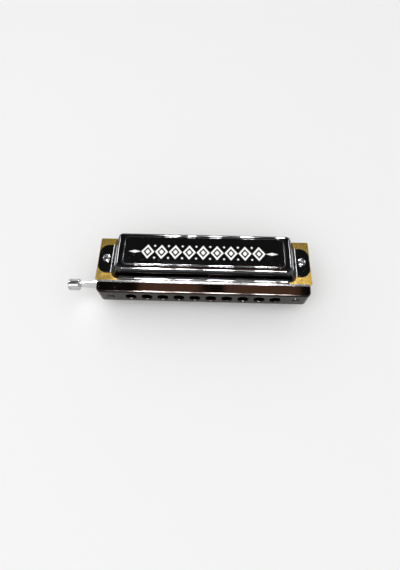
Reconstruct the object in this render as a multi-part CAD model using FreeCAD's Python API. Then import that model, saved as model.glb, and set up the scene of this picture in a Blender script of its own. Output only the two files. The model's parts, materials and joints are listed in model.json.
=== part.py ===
import FreeCAD, Part

import math
import os

# A ten-hole chromatic harmonica, lying with its numbered cover underneath.
# X runs along the instrument, Y from the mouthpiece to the back, and Z is up.
# The origin is on the surface that it rests on, under the middle of the comb.
# The sliding button is at the low X end, so hole one is at the high X end.
# Upper and lower name the sides as it lies here. All sizes are millimetres.

# Air holes and the comb
HOLE_COUNT = 10
HOLE_PITCH = 9.3
HOLE_RADIUS = 3.1
HOLE_RIM_ROUND = 0.6
END_BLOCK = 16.5
COMB_DEPTH = 28.5
COMB_THICKNESS = 8.0
COMB_CORNER_ROUND = 0.8
CELL_WALL = 1.6
CELL_FLOOR = 1.2
CELL_END_ROOM = 0.8

# Reed plates, reeds, rivets and valves
PLATE_THICKNESS = 1.0
PAD_SETBACK = 2.6
PAD_LENGTH = 3.0
PAD_WIDTH = 2.6
PAD_THICKNESS = 0.55
REAR_RAIL = 2.83
SHORTEST_TONGUE = 9.4
TONGUE_WIDTH = 2.2
TONGUE_THICKNESS = 0.25
TONGUE_RAMP = 1.2
SLOT_CLEARANCE = 0.07
RIVET_RADIUS = 0.55
RIVET_HEAD_RADIUS = 0.95
RIVET_HEAD_HEIGHT = 0.35
VALVE_WIDTH = 2.9
VALVE_THICKNESS = 0.2
VALVE_GLUE_LENGTH = 0.9
VALVE_TIP_OVERLAP = 0.4

# Sheet covers
COVER_SHEET = 0.5
COVER_BACK_SETBACK = 0.3
COVER_FRONT_SETBACK = 0.1
FRONT_FLANGE = 1.1
FRONT_BEND = 1.3
SHOULDER_HEIGHT = 7.9
FRONT_RUN = 2.5
END_RUN = 3.8
FRONT_CORNER_ROUND = 4.0
BACK_CORNER_ROUND = 2.8
DOME_ROUND = 2.0
PANEL_RISE = 0.6
PANEL_STEP_RUN = 0.5
PANEL_FRONT_MARGIN = 2.4
PANEL_REAR_MARGIN = 2.9
PANEL_END_MARGIN = 3.6
PANEL_CORNER_ROUND = 3.0
PANEL_EDGE_ROUND = 0.35
LIP_DROP = 2.4
HEM_RADIUS = 0.7
TAB_LENGTH = 9.0
TAB_WIDTH = 18.8
TAB_SETBACK = 0.4
TAB_CORNER_ROUND = 5.5
TAB_BEND = 2.0

# Mouthpiece and the slide behind it
MOUTHPIECE_SETBACK = 1.6
MOUTHPIECE_DEPTH = 6.0
MOUTHPIECE_HEIGHT = 14.8
MOUTHPIECE_TAPER = 1.2
MOUTHPIECE_CORNER_ROUND = 3.0
MOUTHPIECE_EDGE_ROUND = 1.4
MOUTHPIECE_REAR_ROUND = 0.4
CAGE_SHEET = 0.6
BACKING_SHEET = 0.6
SLIDE_THICKNESS = 0.7
SLIDE_GAP = 0.05
SLIDE_END_LAND = 1.2
WINDOW_WIDTH = 4.4
WINDOW_HEIGHT = 2.5
TANG_REACH = 11.6
TANG_END_HEIGHT = 4.6
TANG_GRIP = 3.0
BUTTON_RADIUS = 3.4
BUTTON_LENGTH = 6.5
BUTTON_ROUND = 1.0
BUTTON_GROOVE_INSET = 1.3
BUTTON_GROOVE_WIDTH = 0.5
BUTTON_GROOVE_DEPTH = 0.35
BUTTON_CHAMFER = 0.4

# The return spring in its pocket, and the bumper that stops the slide
SPRING_WIRE_RADIUS = 0.35
SPRING_HEIGHT = 3.15
SPRING_TIP_INSET = 4.8
SPRING_MOUTH = 7.2
SPRING_BACK = 3.8
SPRING_LEG = 8.4
SPRING_BEND = 1.5
SPRING_TIP_STRAIGHT = 1.2
SPRING_HOLE_CLEARANCE = 0.1
POCKET_CLEARANCE = 0.8
BUMPER_WALL = 0.5

# Fasteners
COVER_BOLT_GAP = 0.2
COVER_BOLT_RADIUS = 1.0
COVER_BOLT_HEAD_RADIUS = 2.5
COVER_BOLT_HEAD_HEIGHT = 1.3
CROSS_WIDTH = 0.9
CROSS_DEPTH = 0.7
CROSS_SHARE = 0.75
NUT_ACROSS_FLATS = 4.0
NUT_HEIGHT = 1.6
MOUTH_SCREW_INSET = 9.35
MOUTH_SCREW_RADIUS = 1.2
MOUTH_SCREW_GRIP = 7.0
MOUTH_SCREW_HEAD_RADIUS = 2.2
MOUTH_SCREW_HEAD_HEIGHT = 1.3
COUNTERBORE_DEPTH = 0.9
PLATE_SCREW_RADIUS = 0.5
PLATE_SCREW_GRIP = 2.6
PLATE_SCREW_HEAD_RADIUS = 1.1
PLATE_SCREW_HEAD_HEIGHT = 0.5
PLATE_SCREW_FRONT_INSET = 3.4
PLATE_SCREW_BACK_INSET = 1.5
PLATE_SCREW_END_GAP = 1.5
DRIVE_SLOT_WIDTH = 0.7
DRIVE_SLOT_DEPTH = 0.7
HEAD_ROUND = 0.9
CROWN_SHARE = 0.7
FASTENER_GAP = 0.02
BOLT_CLEARANCE = 0.1

# How far a cutting tool runs past what it cuts, and how near counts as in line
OVERRUN = 1.0
NEARLY = 0.01

# Places worked out from the sizes above
CELLS_LENGTH = HOLE_COUNT * HOLE_PITCH
HALF_LENGTH = CELLS_LENGTH / 2 + END_BLOCK
FRONT = -COMB_DEPTH / 2
BACK = COMB_DEPTH / 2
COVER_HEIGHT = SHOULDER_HEIGHT + PANEL_RISE
PLATE_FACE = COMB_THICKNESS / 2 + PLATE_THICKNESS
MID = PLATE_FACE + COVER_HEIGHT
CELL_WIDTH = HOLE_PITCH - CELL_WALL
REED_OFFSET = CELL_WIDTH / 4
SLOT_FRONT = FRONT + PAD_SETBACK + PAD_LENGTH
LONGEST_TONGUE = BACK - REAR_RAIL - PAD_LENGTH - SLOT_CLEARANCE - SLOT_FRONT
SLIDE_TRAVEL = HOLE_PITCH / 2
MOUTHPIECE_HALF = HALF_LENGTH - MOUTHPIECE_SETBACK
SLIDE_BACK = FRONT - BACKING_SHEET - SLIDE_GAP
SLIDE_FRONT = SLIDE_BACK - SLIDE_THICKNESS
SLIDE_MIDDLE = (SLIDE_BACK + SLIDE_FRONT) / 2
CAGE_BACK = SLIDE_FRONT - SLIDE_GAP
CAGE_FRONT = CAGE_BACK - CAGE_SHEET
MOUTH_FACE = CAGE_FRONT - MOUTHPIECE_DEPTH
TAB_BEND_TURN = math.atan2(SHOULDER_HEIGHT, END_RUN)
TAB_BEND_REACH = TAB_BEND * math.tan(TAB_BEND_TURN / 2) - COVER_SHEET * END_RUN / SHOULDER_HEIGHT
COVER_BOLT_X = HALF_LENGTH - TAB_LENGTH + TAB_BEND_REACH + COVER_BOLT_GAP + COVER_BOLT_HEAD_RADIUS
MOUTH_SCREW_X = HALF_LENGTH - MOUTH_SCREW_INSET
SPRING_TIP_X = SPRING_TIP_INSET - HALF_LENGTH
BUMPER_RADIUS = MOUTH_SCREW_RADIUS + FASTENER_GAP + BUMPER_WALL

X_AXIS = FreeCAD.Vector(1, 0, 0)
Y_AXIS = FreeCAD.Vector(0, 1, 0)
Z_AXIS = FreeCAD.Vector(0, 0, 1)


def vector(x, y, z):
    return FreeCAD.Vector(x, y, z)


def box(x_low, x_high, y_low, y_high, z_low, z_high):
    """A box between two corners."""
    return Part.makeBox(
        x_high - x_low, y_high - y_low, z_high - z_low, vector(x_low, y_low, z_low)
    )


def rod(radius, start, axis, length):
    return Part.makeCylinder(radius, length, start, axis)


def prism(points, run):
    """A solid from a closed outline, pushed along run."""
    outline = Part.makePolygon(points + [points[0]])
    return Part.Face(outline).extrude(run)


def joined(shapes):
    """One solid from several that touch or overlap."""
    return shapes[0].fuse(shapes[1:]).removeSplitter()


def mirrored_down(shape):
    """The same piece on the lower side of the comb."""
    return shape.mirror(vector(0, 0, MID), Z_AXIS)


def hole_numbers():
    return range(1, HOLE_COUNT + 1)


def hole_x(number):
    """Hole one is at the high X end, away from the button."""
    return ((HOLE_COUNT + 1) / 2 - number) * HOLE_PITCH


def tongue_length(number):
    """Reeds shorten evenly from the lowest note to the highest."""
    share = (number - 1) / max(HOLE_COUNT - 1, 1)
    return LONGEST_TONGUE + (SHORTEST_TONGUE - LONGEST_TONGUE) * share


def slot_back(number):
    return SLOT_FRONT + tongue_length(number) + SLOT_CLEARANCE


def corner_arc(before, corner, after, radius):
    """Start, middle and end of the arc that rounds the corner of two straight runs."""
    to_before = (before - corner).normalize()
    to_after = (after - corner).normalize()
    half_turn = (math.pi - to_before.getAngle(to_after)) / 2
    cut_back = radius * math.tan(half_turn)
    to_centre = (to_before + to_after).normalize()
    to_middle = radius / math.cos(half_turn) - radius
    return (
        corner + to_before * cut_back,
        corner + to_centre * to_middle,
        corner + to_after * cut_back,
    )


def rounded_outline(corners, radii):
    """A closed outline with an arc at each corner."""
    neighbours = zip(corners[-1:] + corners[:-1], corners, corners[1:] + corners[:1], radii)
    arcs = [corner_arc(*around) for around in neighbours]
    edges = []
    for arc, following in zip(arcs, arcs[1:] + arcs[:1]):
        edges.append(Part.Arc(*arc).toShape())
        edges.append(Part.LineSegment(arc[2], following[0]).toShape())
    return Part.Wire(edges)


def rectangle(x_half, y_low, y_high, z):
    """Corners of a level rectangle, centred in X, from the left front corner."""
    return [
        vector(-x_half, y_low, z),
        vector(x_half, y_low, z),
        vector(x_half, y_high, z),
        vector(-x_half, y_high, z),
    ]


def plate_blank(z_low, z_high):
    """A flat bar of the comb's outline, which the reed plates share."""
    corners = rectangle(HALF_LENGTH, FRONT, BACK, z_low)
    outline = rounded_outline(corners, [COMB_CORNER_ROUND] * 4)
    return Part.Face(outline).extrude((z_high - z_low) * Z_AXIS)


# The comb: twenty open cells in a solid bar

def cell(number):
    """The space of one upper cell, open at the front and at the top."""
    centre = hole_x(number)
    back = slot_back(number) + PAD_LENGTH + CELL_END_ROOM
    return box(
        centre - CELL_WIDTH / 2,
        centre + CELL_WIDTH / 2,
        FRONT - OVERRUN,
        back,
        MID + CELL_FLOOR / 2,
        MID + COMB_THICKNESS / 2 + OVERRUN,
    )


def spring_pocket():
    """The room that the return spring lies in, under the upper reed plate."""
    return box(
        SPRING_TIP_X - POCKET_CLEARANCE - SPRING_WIRE_RADIUS,
        SPRING_TIP_X + SPRING_MOUTH + SPRING_WIRE_RADIUS + FASTENER_GAP,
        FRONT - OVERRUN,
        FRONT + SPRING_LEG + SPRING_WIRE_RADIUS + POCKET_CLEARANCE,
        MID + SPRING_HEIGHT - SPRING_WIRE_RADIUS - FASTENER_GAP,
        MID + COMB_THICKNESS / 2 + OVERRUN,
    )


def plate_screw_places():
    """Six screws a plate, each in a wall of the comb or beside its cells."""
    middle = ((HOLE_COUNT // 2) - HOLE_COUNT / 2) * HOLE_PITCH
    end = CELLS_LENGTH / 2 + PLATE_SCREW_END_GAP
    rows = (FRONT + PLATE_SCREW_FRONT_INSET, BACK - PLATE_SCREW_BACK_INSET)
    return [(x, y) for x in (-end, middle, end) for y in rows]


def bolt_holes(radius):
    """The two holes of the cover bolts, right through the instrument."""
    return [
        rod(radius, vector(side * COVER_BOLT_X, 0, -OVERRUN), Z_AXIS, 2 * (MID + OVERRUN))
        for side in (-1, 1)
    ]


def mouth_screw_holes(radius, back):
    """The two holes of the mouthpiece screws, from the front to back."""
    start = MOUTH_FACE - OVERRUN
    return [
        rod(radius, vector(side * MOUTH_SCREW_X, start, MID), Y_AXIS, back - start)
        for side in (-1, 1)
    ]


def comb():
    bar = plate_blank(MID - COMB_THICKNESS / 2, MID + COMB_THICKNESS / 2)
    upper_cells = [cell(number) for number in hole_numbers()]
    cells = upper_cells + [mirrored_down(space) for space in upper_cells]
    pilot = PLATE_SCREW_RADIUS + FASTENER_GAP
    upper_pilots = [
        rod(
            pilot,
            vector(x, y, MID + COMB_THICKNESS / 2 - PLATE_SCREW_GRIP - FASTENER_GAP),
            Z_AXIS,
            PLATE_SCREW_GRIP + OVERRUN,
        )
        for x, y in plate_screw_places()
    ]
    pilots = upper_pilots + [mirrored_down(hole) for hole in upper_pilots]
    holes = bolt_holes(COVER_BOLT_RADIUS + BOLT_CLEARANCE)
    screws = mouth_screw_holes(
        MOUTH_SCREW_RADIUS + FASTENER_GAP, FRONT + MOUTH_SCREW_GRIP + FASTENER_GAP
    )
    return bar.cut(cells + pilots + holes + screws + [spring_pocket()])


# Reed plates with their reeds, rivets and valves

def reed_places(number):
    """X of the draw reed and of the blow reed over one cell."""
    return hole_x(number) + REED_OFFSET, hole_x(number) - REED_OFFSET


def draw_rivet_y():
    return FRONT + PAD_SETBACK + PAD_LENGTH / 2


def blow_rivet_y(number):
    return slot_back(number) + PAD_LENGTH / 2


def upper_reed_plate():
    plate = plate_blank(MID + COMB_THICKNESS / 2, MID + PLATE_FACE)
    low = MID + COMB_THICKNESS / 2 - OVERRUN
    high = MID + PLATE_FACE + OVERRUN
    half = TONGUE_WIDTH / 2 + SLOT_CLEARANCE
    cuts = bolt_holes(COVER_BOLT_RADIUS + BOLT_CLEARANCE)
    for number in hole_numbers():
        draw_x, blow_x = reed_places(number)
        for x, rivet_y in ((draw_x, draw_rivet_y()), (blow_x, blow_rivet_y(number))):
            cuts.append(box(x - half, x + half, SLOT_FRONT, slot_back(number), low, high))
            cuts.append(
                rod(RIVET_RADIUS + FASTENER_GAP, vector(x, rivet_y, low), Z_AXIS, high - low)
            )
    for x, y in plate_screw_places():
        cuts.append(
            rod(PLATE_SCREW_RADIUS + BOLT_CLEARANCE, vector(x, y, low), Z_AXIS, high - low)
        )
    return plate.cut(cuts)


def reed(x, root_y, run, face_z, outward, length):
    """A riveted pad with a thin tongue, lying on the face of a plate.

    run is the way that the tongue points along Y, and outward the way off the plate.
    """
    side = [
        (PAD_LENGTH, 0),
        (PAD_LENGTH + length, 0),
        (PAD_LENGTH + length, TONGUE_THICKNESS),
        (PAD_LENGTH + TONGUE_RAMP, TONGUE_THICKNESS),
        (PAD_LENGTH, PAD_THICKNESS),
    ]
    tongue = prism(
        [
            vector(x - TONGUE_WIDTH / 2, root_y + run * along, face_z + outward * off)
            for along, off in side
        ],
        TONGUE_WIDTH * X_AXIS,
    )
    pad_edges = sorted((root_y, root_y + run * PAD_LENGTH))
    pad_faces = sorted((face_z, face_z + outward * PAD_THICKNESS))
    pad = box(x - PAD_WIDTH / 2, x + PAD_WIDTH / 2, *pad_edges, *pad_faces)
    hole = rod(
        RIVET_RADIUS + FASTENER_GAP,
        vector(x, root_y + run * PAD_LENGTH / 2, face_z - OVERRUN),
        Z_AXIS,
        PAD_THICKNESS + 2 * OVERRUN,
    )
    return joined([pad, tongue]).cut(hole)


def upper_draw_reed(number):
    """A draw reed is on the outside of its plate, riveted at the front."""
    x, _ = reed_places(number)
    return reed(x, FRONT + PAD_SETBACK, 1, MID + PLATE_FACE, 1, tongue_length(number))


def upper_blow_reed(number):
    """A blow reed is inside its cell, riveted at the back."""
    _, x = reed_places(number)
    root = slot_back(number) + PAD_LENGTH
    return reed(x, root, -1, MID + COMB_THICKNESS / 2, -1, tongue_length(number))


def rivet(x, y, face_z, outward):
    """A shank through pad and plate, with its head on the pad."""
    pad_top = face_z + outward * PAD_THICKNESS
    shank = rod(
        RIVET_RADIUS,
        vector(x, y, pad_top),
        -outward * Z_AXIS,
        PAD_THICKNESS + PLATE_THICKNESS,
    )
    head = rod(RIVET_HEAD_RADIUS, vector(x, y, pad_top), outward * Z_AXIS, RIVET_HEAD_HEIGHT)
    return joined([shank, head])


def upper_rivets():
    rivets = []
    for number in hole_numbers():
        draw_x, blow_x = reed_places(number)
        rivets.append(rivet(draw_x, draw_rivet_y(), MID + PLATE_FACE, 1))
        rivets.append(rivet(blow_x, blow_rivet_y(number), MID + COMB_THICKNESS / 2, -1))
    return rivets


def upper_valves():
    """Thin flaps over the slots, each on the other face from its reed."""
    valves = []
    for number in hole_numbers():
        draw_x, blow_x = reed_places(number)
        half = VALVE_WIDTH / 2
        inner_face = MID + COMB_THICKNESS / 2
        outer_face = MID + PLATE_FACE
        valves.append(
            box(
                draw_x - half,
                draw_x + half,
                SLOT_FRONT - VALVE_GLUE_LENGTH,
                slot_back(number) + VALVE_TIP_OVERLAP,
                inner_face - VALVE_THICKNESS,
                inner_face,
            )
        )
        valves.append(
            box(
                blow_x - half,
                blow_x + half,
                SLOT_FRONT - VALVE_TIP_OVERLAP,
                slot_back(number) + VALVE_GLUE_LENGTH,
                outer_face,
                outer_face + VALVE_THICKNESS,
            )
        )
    return valves


# Sheet covers: a dome with a raised panel, an open back and two end tabs

def leaning_inset(inset, run):
    """How far a leaning wall moves in level with the plate, when it moves square in by inset."""
    return inset * math.hypot(run, SHOULDER_HEIGHT) / SHOULDER_HEIGHT


def dome_body(inset):
    """The solid that the sheet of a cover wraps, taken in by inset."""

    def section(height):
        share = height / SHOULDER_HEIGHT
        foot_front = FRONT + COVER_FRONT_SETBACK + FRONT_FLANGE
        front = foot_front + FRONT_RUN * share + leaning_inset(inset, FRONT_RUN)
        half = HALF_LENGTH - TAB_LENGTH - END_RUN * share - leaning_inset(inset, END_RUN)
        back = BACK - COVER_BACK_SETBACK - inset
        corners = rectangle(half, front, back, MID + PLATE_FACE + height)
        front_round = FRONT_CORNER_ROUND - inset
        back_round = BACK_CORNER_ROUND - inset
        return rounded_outline(corners, [front_round, front_round, back_round, back_round])

    body = Part.makeLoft([section(-inset), section(SHOULDER_HEIGHT - inset)], True, True)
    top = MID + PLATE_FACE + SHOULDER_HEIGHT - inset
    top_edges = [e for e in body.Edges if e.BoundBox.ZMin > top - NEARLY]
    return body.makeFillet(DOME_ROUND - inset, top_edges)


def panel_pad(inset):
    """The raised panel on the dome, with sloping sides."""
    front = FRONT + COVER_FRONT_SETBACK + FRONT_FLANGE + FRONT_RUN + PANEL_FRONT_MARGIN + inset
    back = BACK - COVER_BACK_SETBACK - PANEL_REAR_MARGIN - inset
    half = HALF_LENGTH - TAB_LENGTH - END_RUN - PANEL_END_MARGIN - inset
    low = MID + PLATE_FACE + SHOULDER_HEIGHT - inset

    def outline(taken_in, z):
        corners = rectangle(half - taken_in, front + taken_in, back - taken_in, z)
        return rounded_outline(corners, [PANEL_CORNER_ROUND - inset - taken_in] * 4)

    sunk = PANEL_EDGE_ROUND
    foot = outline(-sunk * PANEL_STEP_RUN / PANEL_RISE, low - sunk)
    crest = outline(PANEL_STEP_RUN, low + PANEL_RISE)
    pad = Part.makeLoft([foot, crest], True, True)
    crest_edges = [e for e in pad.Edges if e.BoundBox.ZMin > low + PANEL_RISE - NEARLY]
    return pad.makeFillet(PANEL_EDGE_ROUND, crest_edges)


def dome(inset):
    return joined([dome_body(inset), panel_pad(inset)])


def back_window():
    """The open back of a cover, between its end walls and below its turned-down lip."""
    low = MID + PLATE_FACE
    lip = low + SHOULDER_HEIGHT - LIP_DROP

    def half_at(height):
        wall = END_RUN * height / SHOULDER_HEIGHT + leaning_inset(COVER_SHEET, END_RUN)
        return HALF_LENGTH - TAB_LENGTH - wall

    corners = [
        (-half_at(-OVERRUN), low - OVERRUN),
        (half_at(-OVERRUN), low - OVERRUN),
        (half_at(lip - low), lip),
        (-half_at(lip - low), lip),
    ]
    y = BACK - COVER_BACK_SETBACK - BACK_CORNER_ROUND
    return prism([vector(x, y, z) for x, z in corners], (BACK_CORNER_ROUND + OVERRUN) * Y_AXIS)


def hem():
    """The rolled edge along the lip of the open back."""
    z = MID + PLATE_FACE + SHOULDER_HEIGHT - LIP_DROP
    y = BACK - COVER_BACK_SETBACK - HEM_RADIUS
    return rod(HEM_RADIUS, vector(-HALF_LENGTH, y, z), X_AXIS, 2 * HALF_LENGTH)


def bend(run, radius, length):
    """The inside curve from a level sheet up to a wall that leans back by run.

    It lies along Y from zero, with the foot of the wall at X zero and Z zero.
    """
    lean = run / SHOULDER_HEIGHT
    corner = vector(-lean * COVER_SHEET, 0, COVER_SHEET)
    up_the_wall = corner + vector(-lean, 0, 1) * SHOULDER_HEIGHT
    along_the_sheet = corner + X_AXIS * SHOULDER_HEIGHT
    top, middle, end = corner_arc(up_the_wall, corner, along_the_sheet, radius)
    inside_wall = vector(-COVER_SHEET / 2, 0, 0)
    inside_sheet = vector(0, 0, -COVER_SHEET / 2)
    points = [end, end + inside_sheet, corner + inside_wall + inside_sheet, top + inside_wall, top]
    edges = [Part.LineSegment(a, b).toShape() for a, b in zip(points, points[1:])]
    edges.append(Part.Arc(top, middle, end).toShape())
    return Part.Face(Part.Wire(edges)).extrude(length * Y_AXIS)


def tab(side):
    """A flat tongue with rounded outer corners, bent out from the dome's end."""
    inner = HALF_LENGTH - TAB_LENGTH - COVER_SHEET
    outer = HALF_LENGTH - TAB_SETBACK
    low = -TAB_WIDTH / 2
    z = MID + PLATE_FACE
    corners = [
        vector(inner, low, z),
        vector(outer, low, z),
        vector(outer, -low, z),
        vector(inner, -low, z),
    ]
    radii = [COVER_SHEET / 2, TAB_CORNER_ROUND, TAB_CORNER_ROUND, COVER_SHEET / 2]
    flat = Part.Face(rounded_outline(corners, radii)).extrude(COVER_SHEET * Z_AXIS)
    curve = bend(END_RUN, TAB_BEND, TAB_WIDTH)
    curve.translate(vector(HALF_LENGTH - TAB_LENGTH, low, z))
    tongue = joined([flat, curve])
    return tongue if side > 0 else tongue.mirror(vector(0, 0, 0), X_AXIS)


def front_flange():
    """The narrow foot that turns out along the front, over the edge of the reed plate."""
    foot = FRONT + COVER_FRONT_SETBACK + FRONT_FLANGE
    half = HALF_LENGTH - TAB_LENGTH - FRONT_CORNER_ROUND
    z = MID + PLATE_FACE
    corners = rectangle(half, foot - FRONT_FLANGE, foot + COVER_SHEET, z)
    radii = [FRONT_FLANGE / 2, FRONT_FLANGE / 2, COVER_SHEET / 2, COVER_SHEET / 2]
    flat = Part.Face(rounded_outline(corners, radii)).extrude(COVER_SHEET * Z_AXIS)
    length = 2 * (half - FRONT_FLANGE)
    curve = bend(FRONT_RUN, FRONT_BEND, length)
    curve.rotate(vector(0, 0, 0), Z_AXIS, -90)
    curve.translate(vector(-length / 2, foot, z))
    return joined([flat, curve])


def upper_cover():
    shell = dome(0).cut(dome(COVER_SHEET)).cut(back_window())
    rolled = hem().common(dome(0))
    whole = joined([shell, rolled, front_flange(), tab(1), tab(-1)])
    return whole.cut(bolt_holes(COVER_BOLT_RADIUS + BOLT_CLEARANCE))


# Mouthpiece, slide cage, backing plate, slide and button

def looks_up_or_down(face):
    normal = face.normalAt(0, 0)
    return abs(normal.z) > max(abs(normal.x), abs(normal.y))


def mouthpiece():
    """A bored bar that leans in towards its rounded front."""
    rear = MOUTHPIECE_HEIGHT / 2
    front = rear - MOUTHPIECE_TAPER
    section = [
        (CAGE_FRONT, -rear),
        (CAGE_FRONT, rear),
        (MOUTH_FACE, front),
        (MOUTH_FACE, -front),
    ]
    bar = prism(
        [vector(-MOUTHPIECE_HALF, y, MID + z) for y, z in section],
        2 * MOUTHPIECE_HALF * X_AXIS,
    )
    corners = [
        e
        for e in bar.Edges
        if e.BoundBox.XLength < NEARLY and e.BoundBox.YMax < MOUTH_FACE + NEARLY
    ]
    bar = bar.makeFillet(MOUTHPIECE_CORNER_ROUND, corners)
    broad_faces = [face for face in bar.Faces if looks_up_or_down(face)]
    lips = [
        e for face in broad_faces for e in face.Edges if e.BoundBox.YMin < CAGE_FRONT - NEARLY
    ]
    bar = bar.makeFillet(MOUTHPIECE_EDGE_ROUND, lips)
    rear_rim = [e for e in bar.Edges if e.BoundBox.YMin > CAGE_FRONT - NEARLY]
    bar = bar.makeFillet(MOUTHPIECE_REAR_ROUND, rear_rim)
    through = MOUTHPIECE_DEPTH + 2 * OVERRUN
    holes = [
        rod(HOLE_RADIUS, vector(hole_x(number), MOUTH_FACE - OVERRUN, MID), Y_AXIS, through)
        for number in hole_numbers()
    ]
    bar = bar.cut(holes)
    mouths = [
        e
        for e in bar.Edges
        if isinstance(e.Curve, Part.Circle) and abs(e.Curve.Center.y - MOUTH_FACE) < NEARLY
    ]
    bar = bar.makeFillet(HOLE_RIM_ROUND, mouths)
    bores = mouth_screw_holes(MOUTH_SCREW_RADIUS + BOLT_CLEARANCE, CAGE_FRONT + OVERRUN)
    counterbores = mouth_screw_holes(
        MOUTH_SCREW_HEAD_RADIUS + BOLT_CLEARANCE, MOUTH_FACE + COUNTERBORE_DEPTH
    )
    return bar.cut(bores + counterbores)


def slide_cage():
    """A sheet channel: a front plate with round holes and two flanges."""
    outer = PLATE_FACE + CAGE_SHEET
    half = MOUTHPIECE_HALF
    plate = box(-half, half, CAGE_FRONT, FRONT, MID - outer, MID + outer)
    room = box(
        -half - OVERRUN,
        half + OVERRUN,
        CAGE_BACK,
        FRONT + OVERRUN,
        MID - PLATE_FACE,
        MID + PLATE_FACE,
    )
    holes = [
        rod(
            HOLE_RADIUS,
            vector(hole_x(number), CAGE_FRONT - OVERRUN, MID),
            Y_AXIS,
            CAGE_SHEET + 2 * OVERRUN,
        )
        for number in hole_numbers()
    ]
    screws = mouth_screw_holes(MOUTH_SCREW_RADIUS + BOLT_CLEARANCE, FRONT)
    return plate.cut([room] + holes + screws)


def windows(shift, side, y_low, y_high):
    """A row of windows, above or below the middle, moved along X by shift."""
    edges = sorted((MID + side * CELL_FLOOR / 2, MID + side * (CELL_FLOOR / 2 + WINDOW_HEIGHT)))
    return [
        box(
            hole_x(number) + shift - WINDOW_WIDTH / 2,
            hole_x(number) + shift + WINDOW_WIDTH / 2,
            y_low,
            y_high,
            *edges,
        )
        for number in hole_numbers()
    ]


def backing_plate():
    """The airtight plate between slide and comb, with a window to every cell."""
    low = FRONT - BACKING_SHEET
    half = MOUTHPIECE_HALF
    plate = box(-half, half, low, FRONT, MID - PLATE_FACE, MID + PLATE_FACE)
    cuts = windows(0, 1, low - OVERRUN, FRONT + OVERRUN)
    cuts += windows(0, -1, low - OVERRUN, FRONT + OVERRUN)
    cuts += mouth_screw_holes(MOUTH_SCREW_RADIUS + BOLT_CLEARANCE, FRONT + OVERRUN)
    reach = SPRING_WIRE_RADIUS + SPRING_HOLE_CLEARANCE
    cuts.append(
        box(
            SPRING_TIP_X - reach,
            SPRING_TIP_X + SLIDE_TRAVEL + reach,
            low - OVERRUN,
            FRONT + OVERRUN,
            MID + SPRING_HEIGHT - reach,
            MID + SPRING_HEIGHT + reach,
        )
    )
    return plate.cut(cuts)


def long_slot(x_low, x_high, half_height):
    """A slot through the slide, round at both ends."""
    y = SLIDE_FRONT - OVERRUN
    depth = SLIDE_THICKNESS + 2 * OVERRUN
    ends = [
        rod(half_height, vector(x, y, MID), Y_AXIS, depth)
        for x in (x_low + half_height, x_high - half_height)
    ]
    middle = box(
        x_low + half_height,
        x_high - half_height,
        y,
        y + depth,
        MID - half_height,
        MID + half_height,
    )
    return joined([middle] + ends)


def slide():
    """The sliding plate, whose lower windows meet the holes at rest."""
    half_height = PLATE_FACE - SLIDE_GAP
    end = MOUTH_SCREW_X + MOUTH_SCREW_RADIUS + BOLT_CLEARANCE + SLIDE_END_LAND
    outside = -MOUTHPIECE_HALF
    tip = outside - TANG_REACH
    outline = [
        (end, -half_height),
        (end, half_height),
        (outside, half_height),
        (tip, TANG_END_HEIGHT / 2),
        (tip - TANG_GRIP, TANG_END_HEIGHT / 2),
        (tip - TANG_GRIP, -TANG_END_HEIGHT / 2),
        (tip, -TANG_END_HEIGHT / 2),
        (outside, -half_height),
    ]
    plate = prism(
        [vector(x, SLIDE_FRONT, MID + z) for x, z in outline], SLIDE_THICKNESS * Y_AXIS
    )
    low = SLIDE_FRONT - OVERRUN
    high = SLIDE_BACK + OVERRUN
    cuts = windows(0, -1, low, high) + windows(-SLIDE_TRAVEL, 1, low, high)
    bumper_reach = BUMPER_RADIUS + SLIDE_GAP
    cuts.append(
        long_slot(
            -MOUTH_SCREW_X - bumper_reach - SLIDE_TRAVEL,
            -MOUTH_SCREW_X + bumper_reach,
            bumper_reach,
        )
    )
    screw_reach = MOUTH_SCREW_RADIUS + BOLT_CLEARANCE
    cuts.append(
        long_slot(MOUTH_SCREW_X - screw_reach - SLIDE_TRAVEL, MOUTH_SCREW_X + screw_reach, screw_reach)
    )
    cuts.append(
        rod(
            SPRING_WIRE_RADIUS + SPRING_HOLE_CLEARANCE,
            vector(SPRING_TIP_X, low, MID + SPRING_HEIGHT),
            Y_AXIS,
            high - low,
        )
    )
    return plate.cut(cuts)


def slide_button():
    """A turned cap with a groove, pressed on the slide's tang."""
    inner = -MOUTHPIECE_HALF - TANG_REACH
    outer = inner - BUTTON_LENGTH
    cap = rod(BUTTON_RADIUS, vector(outer, SLIDE_MIDDLE, MID), X_AXIS, BUTTON_LENGTH)
    crown = [e for e in cap.Edges if e.BoundBox.XMax < outer + NEARLY]
    cap = cap.makeFillet(BUTTON_ROUND, crown)
    foot = [e for e in cap.Edges if e.BoundBox.XMin > inner - NEARLY]
    cap = cap.makeChamfer(BUTTON_CHAMFER, foot)
    groove_start = vector(outer + BUTTON_GROOVE_INSET, SLIDE_MIDDLE, MID)
    ring = rod(BUTTON_RADIUS + OVERRUN, groove_start, X_AXIS, BUTTON_GROOVE_WIDTH)
    core = rod(BUTTON_RADIUS - BUTTON_GROOVE_DEPTH, groove_start, X_AXIS, BUTTON_GROOVE_WIDTH)
    socket = box(
        inner - TANG_GRIP,
        inner + OVERRUN,
        SLIDE_FRONT,
        SLIDE_BACK,
        MID - TANG_END_HEIGHT / 2,
        MID + TANG_END_HEIGHT / 2,
    )
    return cap.cut([ring.cut(core), socket])


def slide_bumper():
    """A soft sleeve on the button-side screw, which stops the slide both ways."""
    start = vector(-MOUTH_SCREW_X, CAGE_BACK, MID)
    length = FRONT - BACKING_SHEET - CAGE_BACK
    sleeve = rod(BUMPER_RADIUS, start, Y_AXIS, length)
    return sleeve.cut(rod(MOUTH_SCREW_RADIUS + FASTENER_GAP, start, Y_AXIS, length))


# The return spring: one wire, bent into an open hairpin

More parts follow.
